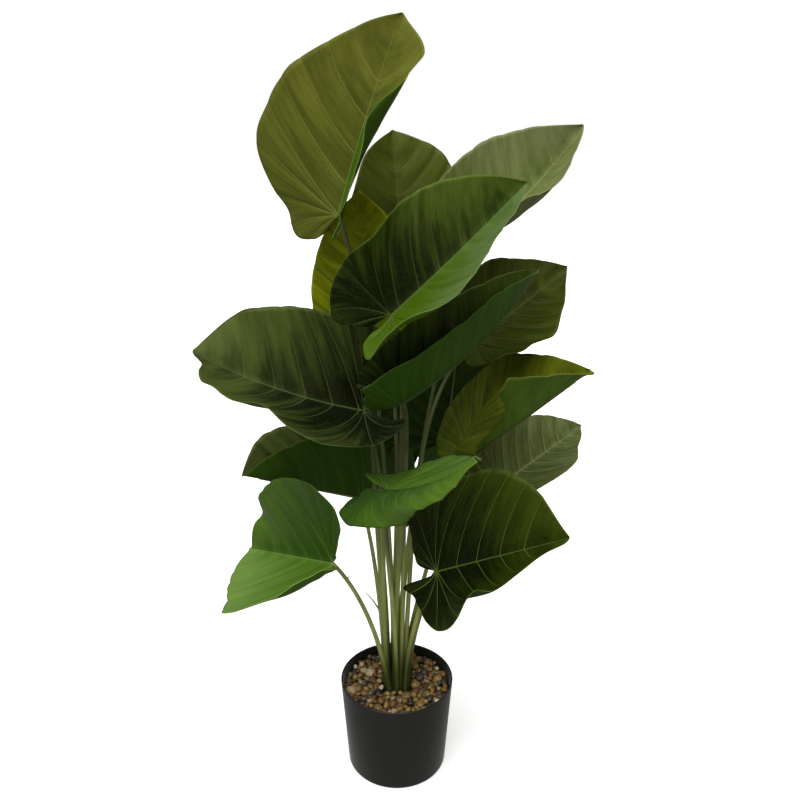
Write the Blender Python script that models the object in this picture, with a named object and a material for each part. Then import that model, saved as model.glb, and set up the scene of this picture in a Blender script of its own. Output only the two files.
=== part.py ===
"""An imitation alocasia in a plastic pot, one object for each piece.

The pot is filled with soil and topped with gravel. The stalks stand as one tight bunch in the middle of the
soil, and each carries one heart-shaped blade. Metres, +Z up, origin at the centre of the pot's underside.
"""

import math
from typing import NamedTuple

import bmesh
import bpy
from mathutils import Matrix, Vector, geometry

GAP = 0.0003  # left between pieces that touch

POT_HEIGHT = 0.120
POT_RADIUS = 0.070  # outside, at the rim
POT_BASE_RADIUS = 0.062
POT_WALL = 0.0022
POT_FLOOR = 0.003
POT_FOOT_ROUND = 0.004
POT_TURNS = 48

SOIL_TOP = 0.094
GRAVEL_TOP = 0.109
GRAVEL_HOLE = 0.0235  # radius left free for the bunch of stalks
GRAVEL_ROUGHNESS = 0.0022  # how far its top rises and falls
GRAVEL_RINGS = 9
GRAVEL_SECTORS = 54
PEBBLES_ROUND = 9  # rises and falls of the top in one turn
PEBBLES_CROSSING = 14
PEBBLES_SLANT = 210.0  # radians of slant for each metre of radius

STALK_PITCH = 0.0068  # between the centres of neighbouring stalks, where they enter the soil
STALK_RADIUS = 0.0030
STALK_TOP_RADIUS = 0.0021
STALK_POINTS = 12
STALK_RISE = 0.45  # share of the reach over which a stalk stays upright
STALK_TURN = 0.22  # share of the reach over which it turns towards its blade

BLADE_THICKNESS = 0.0008
CREASE = 0.005  # how wide the rounded fold along the rib is
VEIN_ANGLE = math.radians(52)  # between a side vein and the rib
VEIN_BOW = 0.22  # how far a side vein bows towards the tip
WAVES, WAVE_HEIGHT = 2.5, 0.012  # along each edge, and their height over the length
BLADE_ROWS = 13
BLADE_COLUMNS = 5
BEND_STEPS = 12  # parts in which the fold and curl across a half are added up

# The edge of one half of a flat blade of length 1 and half width 1, from the notch round the lobe to the tip.
BLADE_EDGE = (
    (-0.15, 0.07),
    (-0.27, 0.21),
    (-0.32, 0.43),
    (-0.26, 0.69),
    (-0.08, 0.89),
    (0.15, 0.99),
    (0.39, 0.98),
    (0.62, 0.82),
    (0.84, 0.48),
    (1.00, 0.00),
)
LOBE_END = -0.32  # the furthest back that a lobe reaches


class Half(NamedTuple):
    """How one half of a blade is folded, in degrees: up from the flat at the base and at the tip, and its curl."""

    base: float
    tip: float
    curl: float


class Leaf(NamedTuple):
    """One blade and its stalk. Places in metres, bends in degrees, pulls over the blade's length."""

    name: str
    slot: tuple  # ring and place of the stalk in the bunch
    base: tuple  # where the stalk meets the blade
    tip: tuple
    facing: tuple  # the way the upper side looks
    left: Half
    right: Half
    width: float = 0.84  # over the length
    arch: float = 0.0  # the rib's bend towards the upper side
    sway: float = 0.0  # the rib's bend to the right
    lobe: float = 1.0  # length of the two lobes behind the stalk, over the usual one
    lobes: float = 0.0  # the lobes' bend, up from the flat
    arrive: tuple = ()  # the way the stalk points where it meets the blade
    lean: tuple = (0.0, 0.0)  # how far the stalk swings out half way up
    tone: str = "green"
    pulls: tuple = ()  # side, place along the edge, spread, and a pull outwards, ahead and up


LEAVES = (
    Leaf("crown_left", (1, 3), (-0.060, 0.000, 0.688), (0.006, -0.010, 0.878), (-0.30, -1.0, 0.2),
         Half(-15, 0, 12), Half(72, 8, 12), width=1.05, sway=8, lobe=0.6, lobes=-20,
         arrive=(-0.3, -0.3, 1.0), lean=(-0.026, -0.004), tone="olive",
         pulls=((-1, 0.60, 0.09, 0.07, -0.02, 0.0), (-1, 0.42, 0.12, -0.11, 0.0, 0.0),
                (-1, 0.76, 0.05, 0.04, 0.0, 0.0), (1, 0.20, 0.20, 0.0, 0.20, 0.0),
                (1, 0.45, 0.08, 0.06, 0.06, 0.0), (1, 0.61, 0.06, -0.06, 0.0, 0.0),
                (1, 0.72, 0.08, -0.21, 0.03, 0.0), (1, 0.81, 0.06, -0.09, 0.0, 0.0),
                (1, 0.86, 0.03, -0.04, 0.0, 0.0), (1, 0.92, 0.04, 0.0, 0.02, 0.0),
                (-1, 0.89, 0.05, -0.03, 0.0, 0.0), (-1, 0.70, 0.04, 0.025, 0.0, 0.0))),
    Leaf("crown_back", (0, 0), (0.010, 0.080, 0.610), (-0.005, 0.140, 0.773), (0.1, -1.0, 0.4),
         Half(15, 15, 10), Half(5, 5, 15), width=0.85, lobe=0.6, arrive=(0.0, 0.35, 1.0),
         lean=(0.0, 0.01), tone="khaki",
         pulls=((-1, 0.76, 0.10, -0.06, 0.02, 0.0), (1, 0.80, 0.12, 0.02, 0.10, 0.0))),
    Leaf("behind_large", (1, 2), (-0.030, 0.045, 0.550), (-0.040, 0.045, 0.710), (-0.3, -1.0, 0.1),
         Half(5, 5, 10), Half(10, 10, 10), width=0.8, lobe=0.6, arrive=(-0.1, 0.1, 1.0), tone="yellow"),
    Leaf("large_front", (1, 5), (-0.005, -0.105, 0.605), (0.117, -0.115, 0.728), (-0.44, -0.79, 0.42),
         Half(42, 30, 8), Half(38, 42, 5), width=0.9, arch=8, lobe=0.85, lobes=-10,
         arrive=(-0.1, -1.0, 0.0), lean=(0.01, 0.0), tone="green",
         pulls=((-1, 0.60, 0.10, -0.09, 0.0, 0.0), (-1, 0.35, 0.14, -0.05, 0.03, 0.0),
                (-1, 0.15, 0.12, -0.01, 0.06, 0.0), (1, 0.50, 0.12, -0.12, 0.02, 0.0),
                (1, 0.20, 0.16, -0.07, 0.07, 0.0), (1, 0.82, 0.12, -0.03, 0.0, 0.0))),
    Leaf("crown_right", (1, 1), (0.080, 0.040, 0.655), (0.203, 0.070, 0.778), (-0.3, -0.8, 0.6),
         Half(35, 35, 10), Half(45, 38, 20), arch=45, arrive=(0.2, -0.42, 1.0), tone="pale",
         pulls=((-1, 0.75, 0.12, 0.02, 0.0, 0.03), (1, 0.58, 0.15, -0.05, 0.0, 0.10),
                (1, 0.88, 0.08, -0.03, 0.0, 0.0))),
    Leaf("left", (2, 7), (-0.035, -0.030, 0.484), (-0.213, -0.040, 0.552), (0.1, -0.6, 0.8),
         Half(25, 35, 10), Half(35, 35, 10), width=1.0, sway=22, lobe=0.7, lobes=-50,
         arrive=(-0.35, -0.1, 0.9), lean=(-0.012, -0.010), tone="dark",
         pulls=((-1, 0.30, 0.18, -0.22, 0.03, 0.0), (-1, 0.75, 0.10, -0.08, 0.0, 0.0),
                (-1, 0.735, 0.03, -0.03, 0.0, 0.0), (-1, 0.82, 0.035, 0.035, -0.02, 0.0),
                (-1, 0.90, 0.03, 0.03, 0.0, 0.0), (-1, 0.955, 0.02, 0.0, -0.04, 0.0),
                (1, 0.90, 0.08, 0.09, 0.03, 0.0), (1, 0.78, 0.06, 0.03, 0.0, 0.0))),
    Leaf("left_lower", (2, 6), (-0.045, 0.060, 0.339), (-0.176, 0.000, 0.394), (0.05, 0.3, 0.95),
         Half(68, 68, 5), Half(55, 55, 5), width=1.05, lobe=0.4, arrive=(-0.3, 0.5, 0.8),
         lean=(-0.004, 0.014), tone="dark",
         pulls=((1, 0.80, 0.14, 0.0, 0.14, 0.01), (1, 0.70, 0.08, 0.0, 0.0, 0.07))),
    Leaf("low_left", (2, 8), (-0.070, -0.080, 0.326), (-0.181, 0.030, 0.284), (-0.75, -0.45, 0.5),
         Half(45, 45, 5), Half(35, 30, 10), width=1.2, lobe=0.6, arrive=(-0.5, -0.3, 0.8),
         lean=(-0.014, -0.02), tone="bright",
         pulls=((-1, 0.32, 0.20, -0.17, 0.0, 0.02), (-1, 0.64, 0.07, 0.06, 0.0, 0.08),
                (1, 0.12, 0.12, 0.0, 0.0, 0.06), (1, 0.88, 0.03, 0.0, 0.0, -0.07))),
    Leaf("low_front", (2, 9), (-0.010, -0.100, 0.423), (0.068, -0.220, 0.505), (0.0, -0.1, 1.0),
         Half(8, 2, 10), Half(-10, -10, -30), width=0.85, arch=20, lobe=0.65, tone="bright",
         pulls=((-1, 0.08, 0.10, -0.05, -0.10, 0.08), (-1, 0.86, 0.10, -0.07, 0.0, 0.0),
                (1, 0.66, 0.16, -0.19, 0.03, -0.03), (1, 0.87, 0.08, -0.07, 0.03, -0.06),
                (1, 0.42, 0.07, -0.04, 0.0, -0.05))),
    Leaf("low_right", (2, 11), (0.045, -0.050, 0.298), (0.180, -0.105, 0.370), (-0.1, -1.0, 0.5),
         Half(5, 5, 15), Half(30, 90, 15), width=1.05, lobe=0.6, tone="forest",
         pulls=((-1, 0.76, 0.14, 0.10, 0.12, 0.0), (-1, 0.25, 0.15, 0.0, 0.09, 0.0),
                (-1, 0.89, 0.06, 0.03, 0.02, 0.0), (1, 0.92, 0.06, -0.015, 0.0, 0.0),
                (1, 0.50, 0.06, -0.02, 0.0, 0.0), (1, 0.66, 0.07, -0.14, 0.05, 0.0),
                (1, 0.35, 0.16, -0.08, 0.06, 0.0), (1, 0.08, 0.07, -0.03, -0.12, 0.0))),
    Leaf("right_back", (2, 1), (0.127, 0.050, 0.360), (0.240, 0.130, 0.408), (-0.3, -0.8, 0.5),
         Half(15, 10, 15), Half(45, 35, 15), width=0.85, tone="sage",
         pulls=((1, 0.86, 0.08, -0.04, -0.06, 0.0),)),
    Leaf("right", (2, 0), (0.082, 0.000, 0.416), (0.205, -0.040, 0.532), (-0.70, 0.1, 0.70),
         Half(35, 35, 10), Half(65, 60, 10), width=1.0, lobe=0.7, tone="moss",
         pulls=((-1, 0.74, 0.10, 0.0, 0.0, 0.08), (1, 0.30, 0.28, 0.0, 0.27, -0.36),
                (1, 0.58, 0.10, 0.0, 0.18, -0.10), (1, 0.50, 0.07, 0.0, 0.09, -0.05),
                (1, 0.70, 0.05, 0.0, 0.08, -0.03), (1, 0.86, 0.10, 0.0, 0.06, -0.09))),
    Leaf("right_upper", (1, 0), (0.089, 0.030, 0.545), (0.196, 0.070, 0.624), (-0.2, -1.0, 0.4),
         Half(5, 5, 15), Half(30, 10, 50), width=0.8, lobe=0.8, arrive=(0.6, 0.0, 0.5),
         lean=(0.015, 0.0), tone="deep",
         pulls=((-1, 0.70, 0.12, 0.08, 0.05, 0.0), (1, 0.40, 0.25, 0.0, 0.17, 0.0),
                (1, 0.68, 0.12, 0.09, 0.0, 0.0), (1, 0.78, 0.07, -0.04, 0.0, 0.0),
                (1, 0.50, 0.06, 0.05, 0.0, 0.0), (1, 0.90, 0.06, -0.05, 0.0, 0.0))),
    Leaf("right_front", (1, 4), (0.006, -0.085, 0.512), (0.140, -0.060, 0.642), (-0.56, -0.50, 0.71),
         Half(58, 52, 5), Half(84, 78, 5), width=0.62, sway=-40, lobe=0.7, lobes=0,
         arrive=(-0.17, -1.0, 0.6), lean=(0.001, 0.0), tone="dark",
         pulls=((-1, 0.15, 0.18, 0.0, 0.09, 0.05), (1, 0.20, 0.15, 0.0, 0.09, 0.07),
                (1, 0.72, 0.16, 0.0, 0.0, -0.03), (1, 0.33, 0.08, 0.0, 0.06, 0.0))),
    Leaf("back_left", (2, 5), (-0.028, 0.128, 0.364), (-0.019, 0.162, 0.486), (0.0, 1.0, 0.12),
         Half(10, 10, 10), Half(10, 10, 10), width=0.95, lobe=0.6, arrive=(-0.05, 1.0, 0.5),
         lean=(0.0, 0.0), tone="shade"),
    Leaf("back_low", (2, 3), (0.0235, 0.085, 0.366), (0.0125, 0.150, 0.252), (0.0, 1.0, 0.5),
         Half(15, 15, -10), Half(15, 15, -10), width=0.68, lobe=1.0, arrive=(0.0, 0.6, 1.0),
         lean=(0.0, 0.02), tone="dark"),
    Leaf("back_right", (2, 2), (0.064, 0.120, 0.393), (0.081, 0.150, 0.538), (0.0, 1.0, 0.12),
         Half(10, 10, 10), Half(10, 10, 10), width=0.9, lobe=0.6, arrive=(-0.4, 1.0, 0.8),
         lean=(0.010, 0.008), tone="shade"),
    Leaf("back_high", (2, 4), (-0.018, 0.120, 0.540), (-0.062, 0.250, 0.610), (0.0, -0.3, 1.0),
         Half(30, 30, 20), Half(30, 30, 20), lobe=0.5, arrive=(-0.3, 0.8, 0.6), lean=(0.005, 0.01),
         tone="dark"),
)

TONES = {
    "olive": (0.095, 0.110, 0.012),
    "khaki": (0.060, 0.080, 0.008),
    "yellow": (0.120, 0.140, 0.004),
    "pale": (0.170, 0.190, 0.060),
    "sage": (0.095, 0.115, 0.035),
    "moss": (0.110, 0.150, 0.006),
    "deep": (0.040, 0.055, 0.004),
    "green": (0.030, 0.060, 0.006),
    "dark": (0.025, 0.045, 0.006),
    "forest": (0.030, 0.050, 0.005),
    "shade": (0.015, 0.035, 0.004),
    "bright": (0.070, 0.130, 0.012),
}


def clear_scene():
    for obj in list(bpy.data.objects):
        bpy.data.objects.remove(obj)


def plain_material(name, colour, roughness):
    """A Principled material of one colour, in linear values."""
    material = bpy.data.materials.new(name)
    material.use_nodes = True
    shader = material.node_tree.nodes["Principled BSDF"]
    shader.inputs["Base Color"].default_value = (*colour, 1.0)
    shader.inputs["Roughness"].default_value = roughness
    shader.inputs["Metallic"].default_value = 0.0
    return material


def add_object(name, data, material):
    obj = bpy.data.objects.new(name, data)
    obj.data.materials.append(material)
    bpy.context.scene.collection.objects.link(obj)
    return obj


def add_mesh(name, mesh_builder, material):
    """An object of what is in a bmesh, which is freed."""
    mesh = bpy.data.meshes.new(name)
    mesh_builder.to_mesh(mesh)
    mesh_builder.free()
    return add_object(name, mesh, material)


def turned(name, profile, material):
    """A solid turned about the Z axis from (radius, height) points that run down its outer side."""
    builder = bmesh.new()
    points = [builder.verts.new((radius, 0.0, height)) for radius, height in profile]
    for start, end in zip(points, points[1:]):
        builder.edges.new((start, end))
    obj = add_mesh(name, builder, material)
    screw = obj.modifiers.new("Turn", "SCREW")
    screw.steps = screw.render_steps = POT_TURNS
    screw.use_merge_vertices = True
    screw.merge_threshold = 0.0001
    return obj


def pot_inner_radius(height):
    taper = (POT_RADIUS - POT_BASE_RADIUS) * height / POT_HEIGHT
    return POT_BASE_RADIUS + taper - POT_WALL


def add_pot():
    """A thin tapered tub with a rounded foot and a plain rim."""
    rim = POT_WALL / 3
    foot = [
        (
            POT_BASE_RADIUS - POT_FOOT_ROUND * (1 - math.cos(turn)),
            POT_FOOT_ROUND * (1 - math.sin(turn)),
        )
        for turn in (0.0, math.pi / 4, math.pi / 2)
    ]
    profile = [
        (0.0, POT_FLOOR),
        (pot_inner_radius(POT_FLOOR), POT_FLOOR),
        (POT_RADIUS - POT_WALL, POT_HEIGHT - rim),
        (POT_RADIUS - POT_WALL + rim, POT_HEIGHT),
        (POT_RADIUS - rim, POT_HEIGHT),
        (POT_RADIUS, POT_HEIGHT - rim),
        *foot,
        (0.0, 0.0),
    ]
    turned("pot", profile, plain_material("black_plastic", (0.022, 0.023, 0.020), 0.38))


def add_soil():
    """The plug that fills the pot under the gravel and holds the stalks."""
    low = POT_FLOOR + GAP
    profile = [
        (0.0, SOIL_TOP),
        (pot_inner_radius(SOIL_TOP) - GAP, SOIL_TOP),
        (pot_inner_radius(low) - GAP, low),
        (0.0, low),
    ]
    turned("soil", profile, plain_material("soil", (0.055, 0.035, 0.020), 0.95))


def add_gravel():
    """One bed of gravel round the stalks, with a pebbly top."""
    low = SOIL_TOP + GAP
    outer = pot_inner_radius(low) - GAP
    turns = [2 * math.pi * step / GRAVEL_SECTORS for step in range(GRAVEL_SECTORS)]
    builder = bmesh.new()

    def top(radius, turn):
        round_part = math.sin(PEBBLES_ROUND * turn + PEBBLES_SLANT * radius)
        crossing_part = math.cos(PEBBLES_CROSSING * turn - PEBBLES_SLANT * radius)
        return GRAVEL_TOP + GRAVEL_ROUGHNESS * round_part * crossing_part

    def loop(radius, heights):
        return [
            builder.verts.new((radius * math.cos(turn), radius * math.sin(turn), height))
            for turn, height in zip(turns, heights)
        ]

    bottom = [low] * GRAVEL_SECTORS
    loops = [loop(GRAVEL_HOLE, bottom)]
    for step in range(GRAVEL_RINGS):
        radius = GRAVEL_HOLE + (outer - GRAVEL_HOLE) * step / (GRAVEL_RINGS - 1)
        loops.append(loop(radius, [top(radius, turn) for turn in turns]))
    loops.append(loop(outer, bottom))
    for inside, outside in zip(loops, loops[1:] + loops[:1]):
        for step in range(GRAVEL_SECTORS):
            after = (step + 1) % GRAVEL_SECTORS
            builder.faces.new((inside[step], outside[step], outside[after], inside[after]))
    bmesh.ops.recalc_face_normals(builder, faces=builder.faces)
    add_mesh("gravel", builder, plain_material("gravel", (0.32, 0.22, 0.12), 0.55))


def along_edge(along):
    """The point of BLADE_EDGE at 0 to 1, on a smooth (Catmull-Rom) curve through its points."""
    place = along * (len(BLADE_EDGE) - 1)
    step = min(int(place), len(BLADE_EDGE) - 2)
    part = place - step
    before = BLADE_EDGE[max(step - 1, 0)]
    after = BLADE_EDGE[min(step + 2, len(BLADE_EDGE) - 1)]
    return tuple(
        b
        + 0.5 * part * (c - a + part * (2 * a - 5 * b + 4 * c - d + part * (3 * b - a - 3 * c + d)))
        for a, b, c, d in zip(before, BLADE_EDGE[step], BLADE_EDGE[step + 1], after)
    )


class BladeFrame:
    """The place, size and bend of one blade's rib."""

    def __init__(self, leaf):
        self.leaf = leaf
        self.base = Vector(leaf.base)
        chord = Vector(leaf.tip) - self.base
        self.bend = math.radians(math.hypot(leaf.arch, leaf.sway)) + 1e-6
        self.length = chord.length * (self.bend / 2) / math.sin(self.bend / 2)
        ahead = chord.normalized()
        facing = Vector(leaf.facing)
        up = (facing - ahead * facing.dot(ahead)).normalized()
        right = ahead.cross(up)
        turn = math.atan2(leaf.sway, leaf.arch)
        self.towards = up * math.cos(turn) + right * math.sin(turn)
        self.axis = ahead.cross(self.towards)
        back = Matrix.Rotation(-self.bend / 2, 3, self.axis)
        self.ahead, self.up, self.right = back @ ahead, back @ up, back @ right
        self.towards = back @ self.towards

    def rib(self, along):
        """The rib's point at a share of the length, and the upward and right directions there."""
        if along < 0:
            angle = math.radians(self.leaf.lobes) * along / LOBE_END
            back = self.up * math.sin(angle / 2) - self.ahead * math.cos(angle / 2)
            up = self.up * math.cos(angle) + self.ahead * math.sin(angle)
            return self.base - back * along * self.length, up, self.right
        angle = self.bend * along
        radius = self.length / self.bend
        point = self.base + radius * (math.sin(angle) * self.ahead + (1 - math.cos(angle)) * self.towards)
        turn = Matrix.Rotation(angle, 3, self.axis)
        return point, turn @ self.up, turn @ self.right


def blade_point(frame, side, across, along):
    """A point of the blade's middle surface: side -1 is the left half, across runs from rib to edge."""
    leaf = frame.leaf
    half = leaf.left if side < 0 else leaf.right
    edge_ahead, edge_out = along_edge(along)
    widest = leaf.width / 2
    if edge_ahead < 0:
        edge_ahead *= leaf.lobe
    root = max(0.0, edge_ahead - edge_out * widest / math.tan(VEIN_ANGLE))
    bow = VEIN_BOW * across * (1 - across)
    ahead = root + (edge_ahead - root) * (across - bow)
    out = edge_out * widest * (across + bow)
    lean = min(max(ahead, 0.0), 1.0)
    fold = math.radians(half.base + (half.tip - half.base) * lean)
    curl = math.radians(half.curl)
    sideways = upward = 0.0
    for step in range(BEND_STEPS):
        here = out * (step + 0.5) / BEND_STEPS
        angle = fold * (1 - math.exp(-here * frame.length / CREASE)) + curl * (here / widest) ** 2
        sideways += math.cos(angle) * out / BEND_STEPS
        upward += math.sin(angle) * out / BEND_STEPS
    upward += WAVE_HEIGHT * math.sin(2 * math.pi * WAVES * along + side) * across**2
    point, up, right = frame.rib(ahead)
    point = point + frame.length * (up * upward + right * (side * sideways))
    for to, at, spread, outwards, onwards, lift in leaf.pulls:
        if to == side:
            share = frame.length * across**2 * math.exp(-(((along - at) / spread) ** 2))
            point += share * (right * (side * outwards) + up.cross(right) * onwards + up * lift)
    return point


def add_blade(leaf):
    frame = BladeFrame(leaf)
    builder = bmesh.new()
    for side in (-1, 1):
        made = bmesh.ops.create_grid(builder, x_segments=BLADE_COLUMNS, y_segments=BLADE_ROWS, size=0.5)
        for vert in made["verts"]:
            vert.co = blade_point(frame, side, vert.co.x + 0.5, vert.co.y + 0.5)
        faces = {face for vert in made["verts"] for face in vert.link_faces}
        if side > 0:
            bmesh.ops.reverse_faces(builder, faces=list(faces))
    bmesh.ops.remove_doubles(builder, verts=builder.verts, dist=0.0002)
    for face in builder.faces:
        face.smooth = True
    obj = add_mesh(
        f"blade_{leaf.name}", builder, plain_material(f"leaf_{leaf.name}", TONES[leaf.tone], 0.45)
    )
    solid = obj.modifiers.new("Thickness", "SOLIDIFY")
    solid.thickness = BLADE_THICKNESS
    solid.offset = 0.0
    return frame


def slot_place(slot):
    """Where a stalk enters the soil: the bunch is packed in rings of 1, 6 and 12."""
    ring, place = slot
    if ring == 0:
        return Vector((0.0, 0.0, SOIL_TOP + GAP))
    corner, step = divmod(place, ring)
    turn = math.pi / 3
    start = Vector((math.cos(turn * corner), math.sin(turn * corner), 0.0))
    end = Vector((math.cos(turn * (corner + 1)), math.sin(turn * (corner + 1)), 0.0))
    return STALK_PITCH * (start * (ring - step) + end * step) + Vector((0.0, 0.0, SOIL_TOP + GAP))


def add_stalk(leaf, frame):
    """A tapering round stalk, from the soil to the underside of its blade. Its lowest part is upright."""
    start = slot_place(leaf.slot)
    arrive = Vector(leaf.arrive or frame.up * 0.6 + frame.ahead * 0.4).normalized()
    tilt = math.sqrt(1 - arrive.dot(frame.up) ** 2)
    clear = BLADE_THICKNESS / 2 + GAP + STALK_TOP_RADIUS * tilt
    end = frame.base - frame.up * clear
    reach = (end - start).length
    swing = Vector((*leaf.lean, 0.0))
    upright = start + Vector((0.0, 0.0, STALK_RADIUS))
    points = [start] + geometry.interpolate_bezier(
        upright,
        start + Vector((0.0, 0.0, reach * STALK_RISE)) + swing,
        end - arrive * reach * STALK_TURN,
        end,
        STALK_POINTS,
    )
    curve = bpy.data.curves.new(f"stalk_{leaf.name}", "CURVE")
    curve.dimensions = "3D"
    curve.bevel_depth = 1.0
    curve.bevel_resolution = 1
    curve.use_fill_caps = True
    spline = curve.splines.new("POLY")
    spline.points.add(len(points) - 1)
    for index, (place, point) in enumerate(zip(spline.points, points)):
        place.co = (*point, 1.0)
        share = index / (len(points) - 1)
        place.radius = STALK_RADIUS + (STALK_TOP_RADIUS - STALK_RADIUS) * share
    add_object(
        f"stalk_{leaf.name}", curve, plain_material(f"stalk_{leaf.name}", (0.11, 0.16, 0.035), 0.42)
    )


def main():
    clear_scene()
    add_pot()
    add_soil()
    add_gravel()
    for leaf in LEAVES:
        frame = add_blade(leaf)
        add_stalk(leaf, frame)


main()
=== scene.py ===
"""A potted alocasia: moulded stems with printed leaves, in a black tub of soil and river pebbles."""

import math
from functools import partial
from typing import NamedTuple

import bmesh
import bpy
import numpy as np
from mathutils import Matrix, Vector, geometry, noise


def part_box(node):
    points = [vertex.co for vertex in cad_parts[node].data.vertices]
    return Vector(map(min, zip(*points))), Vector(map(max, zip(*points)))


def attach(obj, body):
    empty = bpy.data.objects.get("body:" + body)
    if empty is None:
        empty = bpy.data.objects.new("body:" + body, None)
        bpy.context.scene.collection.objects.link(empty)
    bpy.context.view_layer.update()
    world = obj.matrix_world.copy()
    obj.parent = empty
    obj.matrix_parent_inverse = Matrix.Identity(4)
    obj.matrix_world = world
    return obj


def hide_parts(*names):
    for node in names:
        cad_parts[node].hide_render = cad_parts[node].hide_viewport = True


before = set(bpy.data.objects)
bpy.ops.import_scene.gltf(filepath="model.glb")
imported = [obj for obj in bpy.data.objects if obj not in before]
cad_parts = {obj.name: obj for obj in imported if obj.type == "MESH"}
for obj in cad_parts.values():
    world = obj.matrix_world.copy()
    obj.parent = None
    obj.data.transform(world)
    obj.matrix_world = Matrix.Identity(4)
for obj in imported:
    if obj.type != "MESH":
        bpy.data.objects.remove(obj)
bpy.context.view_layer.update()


# ------------------------------------------------------------------------------
# Studio. The plant stands on a pale floor in a white room, under one broad soft light that hangs over
# it and a little towards the viewer, with weak ones from the front and from both side walls.

CAMERA_PLACE = (0.004, -0.849, 0.767)
CAMERA_DOWN = math.radians(18.3)
SENSOR_WIDTH = 36.0
LENS = 36.0
ROOM_LIGHT = 0.17  # how brightly the white room lights the plant, over how bright it looks
FLOOR_SIZE = 24.0
FLOOR_GLOW = 0.45  # the paper's own light, so that it shows pure white

camera = bpy.data.objects.new("camera", bpy.data.cameras.new("camera"))
camera.data.sensor_width = SENSOR_WIDTH
camera.data.lens = LENS
camera.location = CAMERA_PLACE
camera.rotation_euler = (math.radians(90) - CAMERA_DOWN, 0.0, 0.0)
bpy.context.scene.collection.objects.link(camera)
bpy.context.scene.camera = camera
bpy.context.scene.view_settings.view_transform = "Standard"


def add_node(tree, kind, settings=None, links=None):
    """Adds a shader node of a kind such as "Mix", sets properties and sockets, and links sockets from
    (node, output) pairs.

    Sockets go by their identifiers, because several sockets of one node may have the same label.
    """
    node = tree.nodes.new("ShaderNode" + kind)
    sockets = {socket.identifier: socket for socket in node.inputs}
    for name, value in (settings or {}).items():
        if name in sockets:
            sockets[name].default_value = value
        else:
            setattr(node, name, value)
    for name, (source, output) in (links or {}).items():
        outputs = {socket.identifier: socket for socket in source.outputs}
        tree.links.new(outputs[output], sockets[name])
    return node


def linear(hex_colour):
    """An sRGB hex value as the linear colour that the shaders take."""
    shares = [int(hex_colour[place : place + 2], 16) / 255 for place in (0, 2, 4)]
    return (*[s / 12.92 if s <= 0.04045 else ((s + 0.055) / 1.055) ** 2.4 for s in shares], 1.0)


def add_material(name):
    """An empty node material, and a function that adds a node to it."""
    material = bpy.data.materials.new(name)
    material.use_nodes = True
    material.node_tree.nodes.clear()
    return material, partial(add_node, material.node_tree)


world = bpy.data.worlds.new("white_room")
world.use_nodes = True
world.node_tree.nodes.clear()
world_node = partial(add_node, world.node_tree)
seen_or_lit = world_node("LightPath")
room = world_node("MapRange", {"To Min": ROOM_LIGHT}, {"Value": (seen_or_lit, "Is Camera Ray")})
walls = world_node("Background", {"Color": (1.0, 1.0, 1.0, 1.0)}, {"Strength": (room, "Result")})
world_node("OutputWorld", links={"Surface": (walls, "Background")})
bpy.context.scene.world = world


def add_sun(name, strength, spread, tilt):
    """A soft light from far off. Its spread is how wide the lit ceiling or wall looks from the plant, and
    its tilt turns it about X and Y, all in degrees."""
    sun = bpy.data.objects.new(name, bpy.data.lights.new(name, "SUN"))
    sun.data.energy = strength
    sun.data.angle = math.radians(spread)
    sun.rotation_euler = (math.radians(tilt[0]), math.radians(tilt[1]), 0.0)
    bpy.context.scene.collection.objects.link(sun)


add_sun("ceiling_light", 3.7, 70.0, (20.0, -12.0))
add_sun("front_light", 0.2, 80.0, (68.0, 8.0))
add_sun("left_wall", 0.22, 60.0, (80.0, -75.0))
add_sun("right_wall", 0.14, 60.0, (80.0, 75.0))


def white_backdrop_paper():
    """Matt studio paper: pure white to look at, and a little grey in the light that it throws back up."""
    material, node = add_material("white_backdrop_paper")
    ray = node("LightPath")
    bounce = node("BsdfDiffuse", {"Color": linear("8c8c8a")})
    white = node(
        "BsdfPrincipled",
        {
            "Base Color": linear("f6f6f4"),
            "Roughness": 0.9,
            "Emission Color": linear("ffffff"),
            "Emission Strength": FLOOR_GLOW,
        },
    )
    either = node(
        "MixShader",
        links={"Fac": (ray, "Is Camera Ray"), "Shader": (bounce, "BSDF"), "Shader_001": (white, "BSDF")},
    )
    node("OutputMaterial", links={"Surface": (either, "Shader")})
    return material


floor_mesh = bmesh.new()
bmesh.ops.create_grid(floor_mesh, x_segments=1, y_segments=1, size=FLOOR_SIZE / 2)
floor = bpy.data.objects.new("floor", bpy.data.meshes.new("floor"))
floor_mesh.to_mesh(floor.data)
floor_mesh.free()
bpy.context.scene.collection.objects.link(floor)
floor.data.materials.append(white_backdrop_paper())


# ------------------------------------------------------------------------------
# Pot. A thin tapered tub, injection moulded in black polypropylene, with a satin skin, a rim rounded
# over at the top and a rounded foot. It stands on its flat underside.

POT_WALL = 0.0022
POT_FLOOR = 0.003
POT_TAPER = 0.008  # how much smaller the foot's radius is than the rim's
FOOT_ROUND = 0.004
POT_TURNS = 96
ARC_STEPS = 6
MERGED_AXIS = 1e-6
CRISP_ANGLE = math.radians(50)  # sharper edges than this are shaded crisp

_, pot_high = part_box("pot")
pot_height = pot_high.z
rim_radius = pot_high.x
base_radius = rim_radius - POT_TAPER


def add_piece(name, builder, materials):
    """An object of what is in a bmesh, which is freed. It rides on the one body."""
    mesh = bpy.data.meshes.new(name)
    for face in builder.faces:
        face.smooth = True
    builder.to_mesh(mesh)
    builder.free()
    for material in materials:
        mesh.materials.append(material)
    piece = bpy.data.objects.new(name, mesh)
    bpy.context.scene.collection.objects.link(piece)
    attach(piece, "root")
    return piece


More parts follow.
